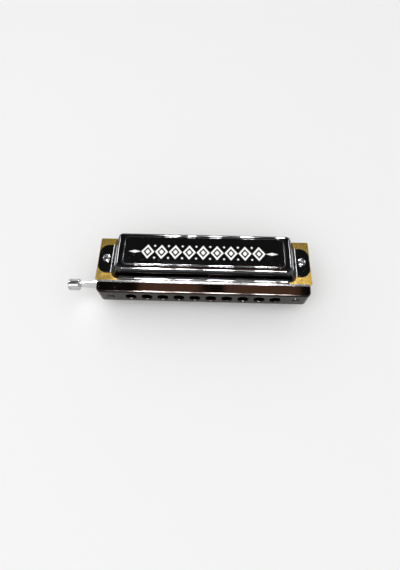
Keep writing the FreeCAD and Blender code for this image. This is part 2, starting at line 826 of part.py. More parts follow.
def rounded_route(points, radius):
    """Straight runs through points, with an arc of radius at each corner."""
    edges = []
    start = points[0]
    for around in zip(points, points[1:], points[2:]):
        arc = corner_arc(*around, radius)
        edges.append(Part.LineSegment(start, arc[0]).toShape())
        edges.append(Part.Arc(*arc).toShape())
        start = arc[2]
    edges.append(Part.LineSegment(start, points[-1]).toShape())
    return Part.Wire(edges)


def slide_spring():
    z = MID + SPRING_HEIGHT
    middle = SPRING_TIP_X + SPRING_MOUTH / 2
    route = [
        vector(SPRING_TIP_X, SLIDE_FRONT, z),
        vector(SPRING_TIP_X, FRONT + SPRING_TIP_STRAIGHT, z),
        vector(middle - SPRING_BACK / 2, FRONT + SPRING_LEG, z),
        vector(middle + SPRING_BACK / 2, FRONT + SPRING_LEG, z),
        vector(SPRING_TIP_X + SPRING_MOUTH, FRONT + SPRING_TIP_STRAIGHT, z),
    ]
    path = rounded_route(route, SPRING_BEND)
    section = Part.Wire(Part.makeCircle(SPRING_WIRE_RADIUS, route[0], Y_AXIS))
    return path.makePipeShell([section], True, False)


# Fasteners

def cross_slot(width, reach, depth):
    """A cross to cut into a screw head that faces up, with its top at zero."""
    return joined(
        [
            box(-reach, reach, -width / 2, width / 2, -depth, OVERRUN),
            box(-width / 2, width / 2, -reach, reach, -depth, OVERRUN),
        ]
    )


def domed_head(radius, height):
    """A screw head that faces up, with its seat at zero."""
    head = rod(radius, vector(0, 0, 0), Z_AXIS, height)
    crown = [e for e in head.Edges if e.BoundBox.ZMin > height - NEARLY]
    return head.makeFillet(min(HEAD_ROUND, height * CROWN_SHARE), crown)


def cover_bolts():
    seat = MID + PLATE_FACE + COVER_SHEET
    reach = 2 * (PLATE_FACE + COVER_SHEET) + NUT_HEIGHT
    head = domed_head(COVER_BOLT_HEAD_RADIUS, COVER_BOLT_HEAD_HEIGHT)
    cross = cross_slot(CROSS_WIDTH, COVER_BOLT_HEAD_RADIUS * CROSS_SHARE, CROSS_DEPTH)
    cross.translate(vector(0, 0, COVER_BOLT_HEAD_HEIGHT))
    shank = rod(COVER_BOLT_RADIUS, vector(0, 0, -reach), Z_AXIS, reach)
    bolt = joined([head.cut(cross), shank])
    return [bolt.translated(vector(side * COVER_BOLT_X, 0, seat)) for side in (-1, 1)]


def cover_nuts():
    seat = MID - PLATE_FACE - COVER_SHEET
    corner = NUT_ACROSS_FLATS / math.sqrt(3)
    angles = [math.radians(60 * step) for step in range(6)]
    hexagon = [vector(corner * math.cos(a), corner * math.sin(a), -NUT_HEIGHT) for a in angles]
    bore = rod(COVER_BOLT_RADIUS + FASTENER_GAP, vector(0, 0, -NUT_HEIGHT), Z_AXIS, NUT_HEIGHT)
    nut = prism(hexagon, NUT_HEIGHT * Z_AXIS).cut(bore)
    return [nut.translated(vector(side * COVER_BOLT_X, 0, seat)) for side in (-1, 1)]


def mouthpiece_screws():
    seat = MOUTH_FACE + COUNTERBORE_DEPTH
    reach = FRONT + MOUTH_SCREW_GRIP - seat
    head = domed_head(MOUTH_SCREW_HEAD_RADIUS, MOUTH_SCREW_HEAD_HEIGHT)
    slot = box(
        -MOUTH_SCREW_HEAD_RADIUS,
        MOUTH_SCREW_HEAD_RADIUS,
        -DRIVE_SLOT_WIDTH / 2,
        DRIVE_SLOT_WIDTH / 2,
        MOUTH_SCREW_HEAD_HEIGHT - DRIVE_SLOT_DEPTH,
        MOUTH_SCREW_HEAD_HEIGHT + OVERRUN,
    )
    shank = rod(MOUTH_SCREW_RADIUS, vector(0, 0, -reach), Z_AXIS, reach)
    screw = joined([head.cut(slot), shank])
    facing_player = screw.rotated(vector(0, 0, 0), X_AXIS, 90)
    return [facing_player.translated(vector(side * MOUTH_SCREW_X, seat, MID)) for side in (-1, 1)]


def upper_plate_screws():
    head = domed_head(PLATE_SCREW_HEAD_RADIUS, PLATE_SCREW_HEAD_HEIGHT)
    reach = PLATE_THICKNESS + PLATE_SCREW_GRIP
    shank = rod(PLATE_SCREW_RADIUS, vector(0, 0, -reach), Z_AXIS, reach)
    screw = joined([head, shank])
    return [screw.translated(vector(x, y, MID + PLATE_FACE)) for x, y in plate_screw_places()]


def sub_parts():
    """Every node's name with its solids."""
    parts = {
        "comb": [comb()],
        "upper_cover": [upper_cover()],
        "upper_reed_plate": [upper_reed_plate()],
        "mouthpiece": [mouthpiece()],
        "slide_cage": [slide_cage()],
        "slide_backing_plate": [backing_plate()],
        "slide": [slide()],
        "slide_button": [slide_button()],
        "slide_bumper": [slide_bumper()],
        "slide_spring": [slide_spring()],
        "cover_bolts": cover_bolts(),
        "cover_nuts": cover_nuts(),
        "mouthpiece_screws": mouthpiece_screws(),
        "upper_reed_rivets": upper_rivets(),
        "upper_valves": upper_valves(),
        "reed_plate_screws": upper_plate_screws(),
    }
    for number in hole_numbers():
        parts[f"upper_draw_reed_{number:02d}"] = [upper_draw_reed(number)]
        parts[f"upper_blow_reed_{number:02d}"] = [upper_blow_reed(number)]
    for name in [name for name in parts if name.startswith("upper_")]:
        lower_name = name.replace("upper_", "lower_")
        parts[lower_name] = [mirrored_down(solid) for solid in parts[name]]
    parts["reed_plate_screws"] += [mirrored_down(s) for s in parts["reed_plate_screws"]]
    return parts


def export(parts):
    os.makedirs("parts", exist_ok=True)
    for name, solids in parts.items():
        shape = solids[0] if len(solids) == 1 else Part.makeCompound(solids)
        shape.exportStep(f"parts/{name}.step")
        volume = sum(solid.Volume for solid in solids)
        count = sum(len(solid.Solids) for solid in solids)
        valid = all(solid.isValid() for solid in solids)
        print(f"{name}: {count} solids, {volume:.1f} mm3, valid {valid}")


export(sub_parts())
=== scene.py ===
# %% [markdown]
# # A slide chromatic harmonica, dressed in Blender
#
# The pieces of this instrument already exist as solids at their real size: two pressed
# sheet covers, brass reed plates with forty reeds, a comb, a bored mouthpiece and a slide
# with a push button. This lesson gives each surface its finish, adds the white print and
# the hole numbers that are painted on the covers, and lights the whole like a photo of a
# product. Everything is in metres, and nothing that comes from the solids is moved.

# %% Load the fixed frame
import json
import math

import bmesh
import bpy
from mathutils import Euler, Matrix, Quaternion, Vector


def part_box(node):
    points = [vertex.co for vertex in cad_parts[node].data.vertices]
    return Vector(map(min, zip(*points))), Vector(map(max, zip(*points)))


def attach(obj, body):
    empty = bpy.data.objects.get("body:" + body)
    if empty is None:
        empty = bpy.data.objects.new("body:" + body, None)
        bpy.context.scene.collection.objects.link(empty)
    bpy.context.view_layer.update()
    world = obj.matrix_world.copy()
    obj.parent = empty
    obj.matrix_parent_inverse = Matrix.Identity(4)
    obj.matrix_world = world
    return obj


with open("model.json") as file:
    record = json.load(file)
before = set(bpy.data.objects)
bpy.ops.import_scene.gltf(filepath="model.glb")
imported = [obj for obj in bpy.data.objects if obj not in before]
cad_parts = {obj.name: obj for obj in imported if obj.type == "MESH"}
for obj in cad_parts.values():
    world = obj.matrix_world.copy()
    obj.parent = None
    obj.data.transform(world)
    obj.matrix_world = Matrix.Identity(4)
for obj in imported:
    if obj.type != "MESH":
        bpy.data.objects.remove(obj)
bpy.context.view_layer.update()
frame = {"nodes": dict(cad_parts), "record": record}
MM = 0.001

# %% [markdown]
# ## The camera
#
# The photo was taken by hand from quite near, about 23 cm above and in front of the
# instrument, so the far edge looks shorter than the near one. A camera is a place, three
# angles and a focal length. A constraint could aim it at the instrument, but a hand holds a
# camera a little askew, and only angles can say so. The focal length is known in pixels of
# a picture that is 570 pixels high, and Blender wants it in millimetres on a film 36 mm
# long, so it is scaled.

# %% Place the camera
PICTURE_HEIGHT_PIXELS = 570
FOCAL_PIXELS = 359.4
FILM_LONG_SIDE = 36.0
CAMERA_PLACE = Vector((1.18, -105.62, 205.42)) * MM
CAMERA_AZIMUTH = math.radians(-1.913)
CAMERA_ELEVATION = math.radians(64.38)
CAMERA_ROLL = math.radians(-0.341)
NEAREST_SEEN = 0.01

scene = bpy.context.scene
camera_data = bpy.data.cameras.new("camera")
camera_data.sensor_width = FILM_LONG_SIDE
camera_data.lens = FOCAL_PIXELS * FILM_LONG_SIDE / PICTURE_HEIGHT_PIXELS
camera_data.clip_start = NEAREST_SEEN
camera = bpy.data.objects.new("camera", camera_data)
scene.collection.objects.link(camera)
camera.location = CAMERA_PLACE
camera.rotation_mode = "QUATERNION"
level_look = Euler((math.pi / 2 - CAMERA_ELEVATION, 0, -CAMERA_AZIMUTH)).to_quaternion()
camera.rotation_quaternion = level_look @ Quaternion((0, 0, 1), CAMERA_ROLL)
scene.camera = camera
print("lens", round(camera_data.lens, 2), "mm")

# %% [markdown]
# ## Short ways to write shader nodes
#
# Each finish below is one Principled shader with some nodes around it. Written out in
# full, every node takes four or five lines, so a small class adds a node, sets it and
# joins it in one call. Patterns read Object coordinates, which stay with the piece when
# it moves. They are turned into millimetres first, because that is how a scratch or a
# grain of dust is pictured.

# %% A class that adds and joins nodes
class Nodes:
    """Adds nodes to one tree and joins them."""

    def __init__(self, tree):
        self.tree = tree

    def feed(self, socket, source):
        """Joins a socket to another node's output, or sets its value."""
        if isinstance(source, bpy.types.NodeSocket):
            self.tree.links.new(source, socket)
        else:
            socket.default_value = source

    def add(self, kind, inputs=None, **settings):
        """A new node. Inputs, by name or number, get a value or another node's output."""
        node = self.tree.nodes.new(kind)
        for name, value in settings.items():
            setattr(node, name, value)
        for key, source in (inputs or {}).items():
            self.feed(node.inputs[key], source)
        return node

    def math(self, operation, *sources, clamp=False):
        inputs = dict(enumerate(sources))
        node = self.add("ShaderNodeMath", inputs, operation=operation, use_clamp=clamp)
        return node.outputs[0]

    def divided(self, vector, sizes):
        """A vector divided by sizes along X, Y and Z, or by one size along all three."""
        if isinstance(sizes, (int, float)):
            sizes = (sizes,) * 3
        inputs = {0: vector, 1: sizes}
        return self.add("ShaderNodeVectorMath", inputs, operation="DIVIDE").outputs[0]

    def ramp(self, value, low, high, to_low=0.0, to_high=1.0):
        """A smooth step from to_low at low, to to_high at high."""
        inputs = {0: value, 1: low, 2: high, 3: to_low, 4: to_high}
        step = self.add("ShaderNodeMapRange", inputs, interpolation_type="SMOOTHSTEP")
        return step.outputs[0]

    def millimetres(self):
        """The place on the piece, in millimetres."""
        place = self.add("ShaderNodeTexCoord").outputs["Object"]
        scale = self.add("ShaderNodeVectorMath", {0: place, "Scale": 1 / MM}, operation="SCALE")
        return scale.outputs[0]

    def sizes(self, x, y, z):
        return self.add("ShaderNodeCombineXYZ", {0: x, 1: y, 2: z}).outputs[0]

    def noise(self, vector, detail=2.0, roughness=0.5):
        """Noise whose blobs are about as large as one unit of the vector."""
        inputs = {"Vector": vector, "Scale": 1.0, "Detail": detail, "Roughness": roughness}
        return self.add("ShaderNodeTexNoise", inputs).outputs[0]

    def mix(self, share, first, second):
        """A colour between two."""
        node = self.add("ShaderNodeMix", {0: share}, data_type="RGBA")
        self.feed(node.inputs[6], first)
        self.feed(node.inputs[7], second)
        return node.outputs[2]


def grey(level):
    return (level, level, level, 1.0)


print("node helper ready")

# %% [markdown]
# ## Node groups for what surfaces share
#
# Handling leaves the same marks on many finishes: hairline scratches, bright worn edges,
# a film from fingers, specks of dust. The nodes for them could be built again in every
# material, but a node group holds an effect once, and each material sets its sockets to its
# own values. In Blender 4.5 the sockets of a group are made with interface.new_socket. Each
# group gives one number per point, a mask or a height.

# %% Start a group
def new_group(name, inputs, output):
    """A group with number inputs and one number output, and its two ends."""
    tree = bpy.data.node_groups.new(name, "ShaderNodeTree")
    for socket_name, value in inputs.items():
        socket = tree.interface.new_socket(
            socket_name, in_out="INPUT", socket_type="NodeSocketFloat"
        )
        socket.default_value = value
    tree.interface.new_socket(output, in_out="OUTPUT", socket_type="NodeSocketFloat")
    nodes = Nodes(tree)
    entry = nodes.add("NodeGroupInput").outputs
    way_out = nodes.add("NodeGroupOutput")
    return nodes, entry, way_out.inputs[0]


print("groups so far:", len(bpy.data.node_groups))

# %% [markdown]
# Wiping and handling leave hairline scratches on polish. They could be painted on an image,
# but that needs unwrapped pieces, and it blurs from near. Here they are very long, thin
# blobs of noise: squeezing the coordinates before the noise stretches its blobs. Two sets,
# turned by different angles in radians, look like wear from a cloth, and a broad noise
# keeps them in patches, because wear is never even.

# %% Hairline scratches
SCRATCH_TURNS = (0.35, -1.1)
SCRATCH_STEP = (0.66, 0.76)
SCRATCH_PATCH = 9.0
SCRATCH_PATCH_STEP = (0.4, 0.65)


def scratch_group():
    inputs = {"Length": 9.0, "Width": 0.07, "Amount": 0.5}
    nodes, entry, way_out = new_group("hairline_scratches", inputs, "Mask")
    place = nodes.millimetres()
    size = nodes.sizes(entry["Length"], entry["Width"], entry["Length"])
    marks = []
    for turn in SCRATCH_TURNS:
        inputs = {"Vector": place, "Angle": turn}
        turned = nodes.add("ShaderNodeVectorRotate", inputs, rotation_type="Z_AXIS").outputs[0]
        streaks = nodes.noise(nodes.divided(turned, size), detail=1.0)
        marks.append(nodes.ramp(streaks, *SCRATCH_STEP))
    patches = nodes.noise(nodes.divided(place, SCRATCH_PATCH))
    both = nodes.math("MAXIMUM", *marks)
    worn = nodes.math("MULTIPLY", both, nodes.ramp(patches, *SCRATCH_PATCH_STEP))
    nodes.feed(way_out, nodes.math("MULTIPLY", worn, entry["Amount"]))
    return nodes.tree


scratches = scratch_group()
print(scratches.name, "has", len(scratches.nodes), "nodes")

# %% [markdown]
# Plating wears through where a piece is handled: on its outer edges. The Pointiness of the
# Geometry node finds edges only on dense meshes, and these flat faces have few vertices.
# Ambient occlusion that looks inward works on any mesh, because near an outer edge the
# other side of the metal is close by. A fine noise breaks the worn line up.

# %% Worn edges
INSIDE_STEP = (0.98, 0.7)
WEAR_PATCH = 1.6
WEAR_PATCH_STEP = (0.35, 0.6)


def edge_wear_group():
    inputs = {"Reach": 0.15, "Amount": 0.5}
    nodes, entry, way_out = new_group("edge_wear", inputs, "Mask")
    inputs = {"Distance": nodes.math("MULTIPLY", entry["Reach"], MM)}
    inward = nodes.add(
        "ShaderNodeAmbientOcclusion", inputs, samples=6, inside=True, only_local=True
    )
    edge = nodes.ramp(inward.outputs["AO"], *INSIDE_STEP)
    patches = nodes.noise(nodes.divided(nodes.millimetres(), WEAR_PATCH), detail=4.0)
    worn = nodes.math("MULTIPLY", edge, nodes.ramp(patches, *WEAR_PATCH_STEP))
    nodes.feed(way_out, nodes.math("MULTIPLY", worn, entry["Amount"]))
    return nodes.tree


edge_wear = edge_wear_group()
print(edge_wear.name, "has", len(edge_wear.nodes), "nodes")

# %% [markdown]
# A film from breath and fingers dulls polish in soft clouds. As smudges of colour it would
# look like dirt, so it only changes roughness. That is why polished metal looks alive when
# it is turned: the clouds show in the blur of a reflection and not in the colour.

# %% A film from handling
FILM_STEP = (0.42, 0.68)


def film_group():
    inputs = {"Cloud": 11.0, "Amount": 0.5}
    nodes, entry, way_out = new_group("handling_film", inputs, "Mask")
    size = nodes.sizes(entry["Cloud"], entry["Cloud"], entry["Cloud"])
    place = nodes.divided(nodes.millimetres(), size)
    clouds = nodes.noise(place, detail=5.0, roughness=0.6)
    dulled = nodes.ramp(clouds, *FILM_STEP)
    nodes.feed(way_out, nodes.math("MULTIPLY", dulled, entry["Amount"]))
    return nodes.tree


film = film_group()
print(film.name, "has", len(film.nodes), "nodes")

# %% [markdown]
# Rolled and drawn metal has a fine grain that runs one way, along X on this instrument
# because its pieces are long in X. The shader's Anisotropic value would stretch highlights
# too, but it has no grain to see from near. This is the same squeezed noise as a scratch,
# but even all over, and it goes to a bump and to a slight change of tone.

# %% Rolled grain
def grain_group():
    inputs = {"Length": 14.0, "Width": 0.09}
    nodes, entry, way_out = new_group("rolled_grain", inputs, "Height")
    size = nodes.sizes(entry["Length"], entry["Width"], entry["Width"])
    place = nodes.divided(nodes.millimetres(), size)
    nodes.feed(way_out, nodes.noise(place, detail=3.0, roughness=0.65))
    return nodes.tree


grain = grain_group()
print(grain.name, "has", len(grain.nodes), "nodes")

# %% [markdown]
# Dust lies on what faces up. Specks could be scattered as tiny meshes, but they are too
# small for that to show, and they would be many. Cells of a Voronoi texture give separate
# specks, and only the few whose random colour is low are kept.

# %% Specks of dust
SPECK_PITCH = 1.3
SPECK_RADIUS = 0.09
UPWARD_STEP = (0.3, 0.8)


def dust_group():
    nodes, entry, way_out = new_group("dust_specks", {"Share": 0.3}, "Mask")
    place = nodes.divided(nodes.millimetres(), SPECK_PITCH)
    cells = nodes.add("ShaderNodeTexVoronoi", {"Vector": place, "Scale": 1.0})
    near = nodes.ramp(cells.outputs["Distance"], SPECK_RADIUS, SPECK_RADIUS / 2)
    luck = nodes.add("ShaderNodeSeparateColor", {0: cells.outputs["Color"]}).outputs[0]
    kept = nodes.math("LESS_THAN", luck, entry["Share"])
    normal = nodes.add("ShaderNodeNewGeometry").outputs["Normal"]
    facing = nodes.add("ShaderNodeSeparateXYZ", {0: normal}).outputs[2]
    lying = nodes.math("MULTIPLY", kept, nodes.ramp(facing, *UPWARD_STEP))
    nodes.feed(way_out, nodes.math("MULTIPLY", near, lying))
    return nodes.tree


dust = dust_group()
print(dust.name, "has", len(dust.nodes), "nodes")

# %% [markdown]
# ## Starting a finish
#
# Every material slot of the record gets one finish. Values that are the same all over go
# straight on the shader's sockets. What changes over the surface comes in through nodes.
# No real edge is quite sharp. The roundings that can be seen are in the solids, and each
# finish rounds the small ones in shading by a tenth of a millimetre or so, which is enough
# for an edge to catch the light and costs no faces.

# %% Start a finish
EDGE_ROUNDING = 0.13

finishes = {}


class Finish(Nodes):
    """A material with one Principled shader, for one slot of the record."""

    def __init__(self, slot, colour, metallic, roughness, **constants):
        material = bpy.data.materials.new("finish_" + slot)
        material.use_nodes = True
        super().__init__(material.node_tree)
        self.shader = material.node_tree.nodes["Principled BSDF"]
        self.set(Base_Color=colour, Metallic=metallic, Roughness=roughness, **constants)
        finishes[slot] = material

    def set(self, **sources):
        """Joins or sets sockets of the shader, with _ for each space in a name."""
        for name, source in sources.items():
            self.feed(self.shader.inputs[name.replace("_", " ")], source)

    def effect(self, group, **values):
        """The output of a shared group with this finish's own values."""
        return self.add("ShaderNodeGroup", values, node_tree=group).outputs[0]

    def surface(self, height=None, depth=0.0):
        """Rounded edges, and a relief whose depth is in millimetres."""
        inputs = {"Radius": EDGE_ROUNDING * MM}
        normal = self.add("ShaderNodeBevel", inputs, samples=6).outputs[0]
        if height is not None:
            inputs = {"Height": height, "Distance": depth * MM, "Normal": normal}
            normal = self.add("ShaderNodeBump", inputs).outputs[0]
        self.set(Normal=normal)


# %% [markdown]
# ## Plated and polished pieces
#
# The covers are nearly black mirrors. The mouthpiece is chrome, but its colour is made darker
# still and warmer than chrome: that is a painted reflection of dark, reddish surroundings. The
# slide and the cage round it are plain bright chrome.
# Black enamel would look much the same, but on metal one value, its colour, sets how
# strongly a piece mirrors, and its warmth goes into the reflections. So all are metal, by
# one recipe, and they differ in how dark they are and how much wear they show. Where an
# edge is worn, the paler metal under the plating shows. Dust isn't metal, so a speck also
# takes the metallic value away.

# %% Chromes
WORN_METAL = (0.42, 0.40, 0.37, 1.0)
DUST_COLOUR = (0.34, 0.33, 0.31, 1.0)
WEAR_REACH = 0.16
SCRATCH_BLUR = 0.25
WEAR_BLUR = 0.2
DUST_BLUR = 0.7


def chrome(slot, colour, roughness, wear, scratching, clouding, dusty=0.0, under=WORN_METAL):
    """A polished plating: a mirror with film, hairlines, worn edges and some dust."""
    finish = Finish(slot, colour, 1.0, roughness)
    worn = finish.effect(edge_wear, Reach=WEAR_REACH, Amount=wear)
    lines = finish.effect(scratches, Amount=scratching)
    specks = finish.effect(dust, Share=dusty)
    paler = finish.mix(worn, colour, under)
    finish.set(Base_Color=finish.mix(specks, paler, DUST_COLOUR))
    finish.set(Metallic=finish.math("SUBTRACT", 1.0, specks))
    clouds = finish.effect(film, Amount=clouding)
    blur = finish.math("MULTIPLY_ADD", lines, SCRATCH_BLUR, clouds)
    blur = finish.math("MULTIPLY_ADD", worn, WEAR_BLUR, blur)
    rough = finish.math("ADD", roughness, blur)
    finish.set(Roughness=finish.math("MULTIPLY_ADD", specks, DUST_BLUR, rough, clamp=True))
    finish.surface()
    return finish


chrome(
    "cover_black_chrome", (0.055, 0.055, 0.057, 1),
    roughness=0.03, wear=0.5, scratching=0.25, clouding=0.03, dusty=0.25,
)
# The mouthpiece's dark, warm colour is a painted reflection of dark, reddish surroundings, not
# the plating's own colour.
chrome(
    "mouthpiece_chrome", (0.024, 0.0195, 0.018, 1),
    roughness=0.06, wear=0.35, scratching=0.3, clouding=0.06, dusty=0.12,
)
chrome("cage_steel", (0.42, 0.42, 0.43, 1), 0.16, wear=0.0, scratching=0.3, clouding=0.1)
chrome("slide_chrome", (0.55, 0.55, 0.56, 1), 0.1, wear=0.0, scratching=0.5, clouding=0.08)
print("finishes:", sorted(finishes))

# %% [markdown]
# ## Turned pieces
#
# The button is turned on a lathe and then plated. Turning leaves fine rings round the axis, so
# its grain is short along X and long across it. The rings are too small to model and to see one
# by one, but as a bump they stretch a highlight across the grain. The screws' dark colour is a
# painted reflection of dark surroundings, and a screwdriver wears the rims of their recesses
# bright, so what shows there is a pale metal under the plating.

# %% Button and screws
RING_PITCH = 0.12
RING_LENGTH = 14.0
RING_DEPTH = 0.004
SCREWDRIVER_BRIGHT = grey(0.9)

button = chrome("button_chrome", grey(0.5), 0.09, wear=0.2, scratching=0.3, clouding=0.06)
button.surface(button.effect(grain, Length=RING_PITCH, Width=RING_LENGTH), RING_DEPTH)
# The screws' dark base colour is a painted reflection of dark surroundings. Their pale rims are
# wear.
chrome(
    "screw_steel", grey(0.2),
    roughness=0.08, wear=1.0, scratching=0.3, clouding=0.1, under=SCREWDRIVER_BRIGHT,
)
print("finishes:", len(finishes))

# %% [markdown]
# ## Brass
#
# The reed plates are rolled brass. Air and breath tarnish it in soft brown patches, which
# are rougher too, and handling rubs its edges bright. Reeds are a paler alloy, scraped to
# tune them, so their marks run along the reed in Y. A picture of brass would repeat from
# reed to reed. These patterns are read at each reed's own place, so no two look alike.

# %% Brass plates, reeds, rivets and screws
TARNISH = (0.30, 0.17, 0.055, 1.0)
TARNISH_SIZE = 5.0
TARNISH_BLUR = 0.18
GRAIN_STEP = (0.3, 0.7)
GRAIN_TONE = 0.12
GRAIN_DEPTH = 0.008
RUB_REACH = 0.2
RUBBED = 0.5
RUBBED_BRIGHTER = 1.25


def brass(slot, colour, roughness, tarnished, grain_length, grain_width):
    """A brass with tarnish, a grain in millimetres and rubbed edges."""
    finish = Finish(slot, colour, 1.0, roughness)
    cloud = finish.effect(film, Cloud=TARNISH_SIZE, Amount=tarnished)
    height = finish.effect(grain, Length=grain_length, Width=grain_width)
    tone = finish.math("MULTIPLY_ADD", finish.ramp(height, *GRAIN_STEP), GRAIN_TONE, cloud)
    rubbed = finish.effect(edge_wear, Reach=RUB_REACH, Amount=RUBBED)
    bright = tuple(min(1.0, share * RUBBED_BRIGHTER) for share in colour)
    finish.set(Base_Color=finish.mix(rubbed, finish.mix(tone, colour, TARNISH), bright))
    finish.set(Roughness=finish.math("MULTIPLY_ADD", tone, TARNISH_BLUR, roughness))
    finish.surface(height, GRAIN_DEPTH)


brass(
    "plate_brass", (0.88, 0.6, 0.14, 1),
    roughness=0.13, tarnished=0.55, grain_length=14.0, grain_width=0.09,
)
brass(
    "plate_screw_brass", (0.74, 0.55, 0.24, 1),
    roughness=0.2, tarnished=0.3, grain_length=1.0, grain_width=0.1,
)
brass(
    "rivet_brass", (0.78, 0.6, 0.28, 1),
    roughness=0.2, tarnished=0.2, grain_length=1.0, grain_width=0.1,
)
brass(
    "reed_brass", (0.8, 0.62, 0.3, 1),
    roughness=0.22, tarnished=0.15, grain_length=0.08, grain_width=6.0,
)
print("finishes:", len(finishes))

# %% [markdown]
# ## Plastic, rubber and wire
#
# The comb is moulded in black plastic with a faint even texture. The valves are flaps of
# pale film, thin enough to look a little warm. The bumper is soft rubber. Light passing
# into them could be traced too, but they are dark or deep inside, so tiny pits and faint
# blotches are enough. The spring is drawn wire, and it gets the recipe for chrome.

# %% Comb, valves, bumper and spring
BLOTCH_SIZE = 7.0
BLOTCH_BLUR = 0.12
SHADE_SIZE = 3.0
SHADE_AMOUNT = 0.8
SHADE_DARKER = 0.8


def moulded(slot, colour, roughness, texture, depth):
    """A plastic or rubber with the texture of its mould, in millimetres."""
    finish = Finish(slot, colour, 0.0, roughness)
    pits = finish.noise(finish.divided(finish.millimetres(), texture), detail=3.0)
    finish.surface(pits, depth)
    blotches = finish.effect(film, Cloud=BLOTCH_SIZE, Amount=BLOTCH_BLUR)
    finish.set(Roughness=finish.math("ADD", blotches, roughness))
    shades = finish.effect(film, Cloud=SHADE_SIZE, Amount=SHADE_AMOUNT)
    darker = tuple(SHADE_DARKER * share for share in colour[:3]) + (1.0,)
    finish.set(Base_Color=finish.mix(shades, colour, darker))


moulded("comb_plastic", (0.017, 0.017, 0.018, 1), roughness=0.34, texture=0.22, depth=0.008)
moulded("valve_plastic", (0.76, 0.73, 0.64, 1), roughness=0.32, texture=0.6, depth=0.006)
moulded("bumper_rubber", (0.16, 0.14, 0.12, 1), roughness=0.7, texture=0.15, depth=0.01)
chrome("spring_steel", grey(0.5), 0.22, wear=0.0, scratching=0.4, clouding=0.1)
print("finishes:", len(finishes))

# %% [markdown]
# The record says which slot each solid has, so one loop gives every solid its finish. A
# slot with no finish would stop the script here, which is what is wanted.

# %% Give every solid its finish
subparts = frame["record"]["subparts"]
for row in subparts:
    for slot in frame["nodes"][row["node"]].material_slots:
        slot.material = finishes[row["material_slot"]]
print("dressed", len(subparts), "solids")

# %% [markdown]
# ## The print on the cover
#
# The panel of the upper cover has a bold white print. Here it is a plain band of nested
# lozenges that thin out to points at both ends. It could be a mask in the cover's finish,
# but as a mesh it stays sharp from near and can catch the light on its own edge. A lozenge
# is a circle of four segments, stretched. Inset and a deleted middle make it a frame, and
# an extrusion gives the ink its thickness, a few hundredths of a millimetre, with its
# underside just in the metal.

# %% Flat shapes of ink
INK_ABOVE = 0.02
INK_BELOW = 0.03

_, cover_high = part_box("upper_cover")
crest = cover_high.z / MM


def lozenge(mesh, x, y, width, height, line=0.0):
    """Four corners, filled or as a frame, lying on the cover's panel."""
    verts = bmesh.ops.create_circle(mesh, segments=4, radius=0.5, cap_ends=True)["verts"]
    stretch = Matrix.Diagonal((width, height, 1, 1))
    place = Matrix.Translation((x, y, crest - INK_BELOW)) @ stretch
    bmesh.ops.transform(mesh, matrix=place, verts=verts)
    face = verts[0].link_faces[0]
    if line:
        inset = bmesh.ops.inset_region(
            mesh, faces=[face], thickness=line, use_boundary=True, use_even_offset=True
        )
        bmesh.ops.delete(mesh, geom=[face], context="FACES")
        return inset["faces"]
    return [face]


def thicken(mesh, faces, depth):
    """Pushes flat faces up into closed solids."""
    grown = bmesh.ops.extrude_face_region(mesh, geom=faces, use_keep_orig=True)["geom"]
    verts = [item for item in grown if isinstance(item, bmesh.types.BMVert)]
    bmesh.ops.translate(mesh, vec=(0, 0, depth), verts=verts)
    bmesh.ops.recalc_face_normals(mesh, faces=mesh.faces)


print("panel crest at", round(crest, 2), "mm")

# %% [markdown]
# The ink is white enamel, which fine scratches have turned a little grey. It isn't metal,
# so it looks the same from every side, and it needs a finish of its own. Like the numbers
# further down, the print counts as part of the cover's finish, and it moves with the body
# that the cover is on.

# %% White enamel
INK_COLOUR = (0.86, 0.86, 0.84, 1)
INK_ROUGHNESS = 0.3
INK_BLUR = 0.2
WORN_INK = grey(0.35)

enamel = Finish("print_enamel", INK_COLOUR, 0.0, INK_ROUGHNESS)
ink_wear = enamel.effect(scratches, Length=3.0, Width=0.05, Amount=0.35)
enamel.set(Base_Color=enamel.mix(ink_wear, INK_COLOUR, WORN_INK))
ink_film = enamel.effect(film, Cloud=6.0, Amount=INK_BLUR)
enamel.set(Roughness=enamel.math("ADD", ink_film, INK_ROUGHNESS))


def printed_piece(name, mesh):
    """A new object of ink from a mesh in millimetres, riding with the covers."""
    bmesh.ops.scale(mesh, vec=(MM, MM, MM), verts=mesh.verts)
    data = bpy.data.meshes.new(name)
    mesh.to_mesh(data)
    mesh.free()
    data.materials.append(finishes["print_enamel"])
    piece = bpy.data.objects.new(name, data)
    scene.collection.objects.link(piece)
    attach(piece, "instrument")
    print(name, len(data.polygons), "faces")


print("finishes:", len(finishes))

# %% [markdown]
# Nine lozenges stand in a row, each a frame round a small core. A dot sits above and below
# each gap, and a long point closes the band at both ends. An array modifier could repeat
# one lozenge, but the dots would need another one, and short loops over the places along X
# do for them all.

# %% The band
PRINT_MIDDLE_X = -0.4
PRINT_MIDDLE_Y = 0.5
LOZENGE_COUNT = 9
LOZENGE_PITCH = 8.0
LOZENGE_WIDTH = 7.6
LOZENGE_HEIGHT = 9.4
LOZENGE_LINE = 1.05
CORE_SHARE = 0.36
CORE_SIZE = (LOZENGE_WIDTH * CORE_SHARE, LOZENGE_HEIGHT * CORE_SHARE)
POINT_SIZE = (7.0, 2.0)
DOT_SIZE = 1.5


def row_places(count):
    """Where a count of things stands along X, a lozenge's pitch apart."""
    return [PRINT_MIDDLE_X + (step - (count - 1) / 2) * LOZENGE_PITCH for step in range(count)]


